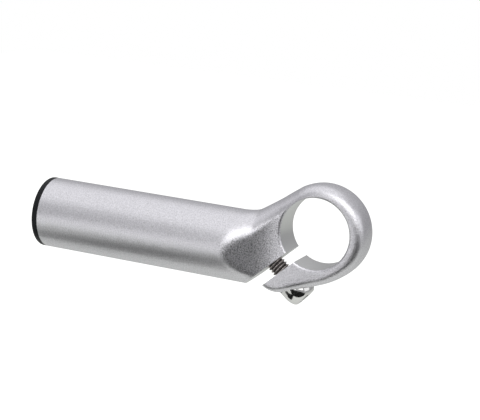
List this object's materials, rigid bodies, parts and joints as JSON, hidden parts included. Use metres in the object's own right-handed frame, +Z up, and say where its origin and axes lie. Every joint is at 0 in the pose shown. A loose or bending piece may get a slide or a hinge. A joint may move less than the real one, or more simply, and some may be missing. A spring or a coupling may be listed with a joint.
{
  "type": "bicycle bar end",
  "caption": "Straight handlebar bar end: round hollow grip, split clamp ring at one end, domed clamp bolt, plug cap at the other.",
  "frame": {"origin": "centre of the clamp bore, on its axis and halfway across its width", "axes": "+Y along the clamp bore and the handlebar, +Z up with the grip's axis level, and the grip reaches out along -X"},
  "size_m": [0.1126, 0.0232, 0.0398],
  "materials": {
    "body": "bead-blasted and anodised, satin",
    "end_cap": "satin moulded plastic",
    "washer": "plated",
    "clamp_bolt": "polished chrome plate, dark oiled thread"
  },
  "bodies": {
    "bar_end": {"body": "body", "end_cap": "end_cap"},
    "washer_travel": {"washer": "washer"},
    "bolt": {"clamp_bolt": "clamp_bolt"}
  },
  "joints": [
    {"name": "bolt_travel", "type": "slide", "parent": "bar_end", "child": "washer_travel", "axis": [0.766, 0, -0.6428], "range_m": [0, 0.01]},
    {"name": "bolt_turn", "type": "hinge", "parent": "washer_travel", "child": "bolt", "pos_m": [-0.01192, 0, -0.01421], "axis": [0.766, 0, -0.6428], "range_deg": [0, 3600]}
  ],
  "couplings": [
    {"joint": "bolt_turn", "follows": "bolt_travel", "rad_per_m": 6283.2}
  ]
}
